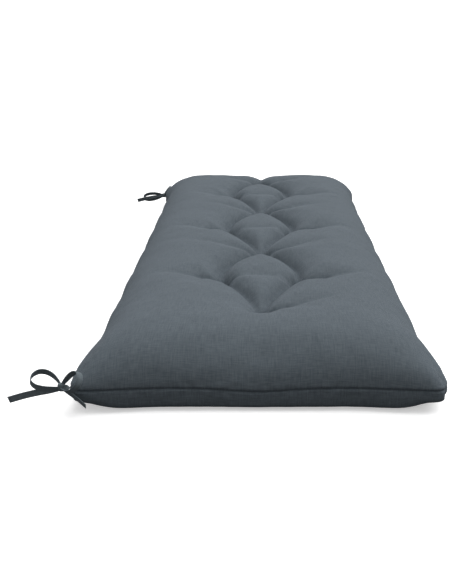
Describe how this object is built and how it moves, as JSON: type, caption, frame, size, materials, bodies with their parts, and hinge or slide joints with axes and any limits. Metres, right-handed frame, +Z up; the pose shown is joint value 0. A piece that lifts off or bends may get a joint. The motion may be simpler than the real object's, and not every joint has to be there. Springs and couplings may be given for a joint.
{
  "type": "bench cushion",
  "caption": "Long padded bench cushion, sewn from a top and an underside panel, tufted in alternating rows, with a cloth tie knotted in a bow at each corner of one long side.",
  "frame": {"origin": "middle of the flat underside, on the surface that the cushion lies on", "axes": "+Z up out of the crowned top, +Y along the cushion's length, -X towards the long side that carries the ties"},
  "size_m": [0.5817, 1.2591, 0.1],
  "materials": {
    "pad_cloth": "matt plain-woven canvas, slate grey",
    "tie_cloth": "matt plain-woven canvas, slate grey, folded and topstitched"
  },
  "bodies": {
    "root": {"cushion": "pad_cloth", "tie_near": "tie_cloth", "tie_far": "tie_cloth"}
  },
  "joints": []
}
